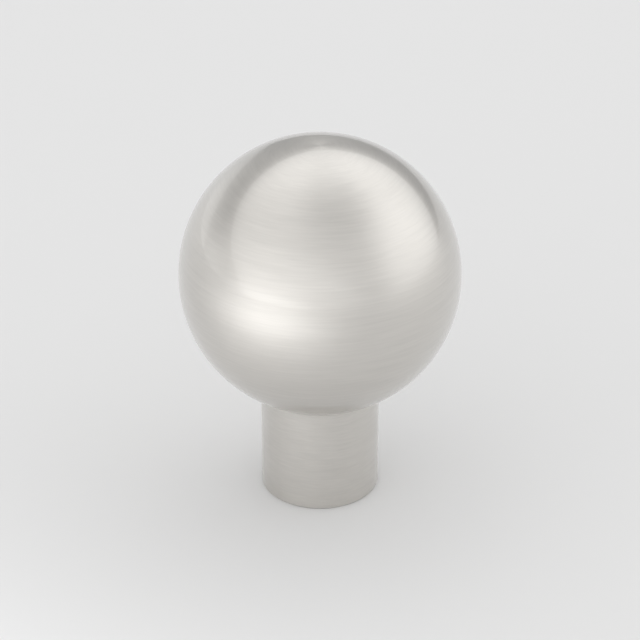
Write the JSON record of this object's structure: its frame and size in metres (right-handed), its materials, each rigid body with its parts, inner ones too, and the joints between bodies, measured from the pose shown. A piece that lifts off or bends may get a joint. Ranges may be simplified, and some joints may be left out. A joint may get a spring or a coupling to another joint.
{
  "type": "cabinet knob",
  "caption": "Ball-headed cabinet knob on a straight round stem, with a flat seat and a blind threaded screw hole up its axis.",
  "frame": {"origin": "centre of the flat seat, where the knob closes against the door or drawer front", "axes": "+Z along the turning axis, out of the front and up to the top of the ball; X and Y are alike, since the knob is round"},
  "size_m": [0.028, 0.028, 0.038],
  "materials": {
    "satin_metal": "satin nickel colour, brushed round the axis, under a thin clear lacquer"
  },
  "bodies": {
    "root": {"knob": "satin_metal"}
  },
  "joints": []
}
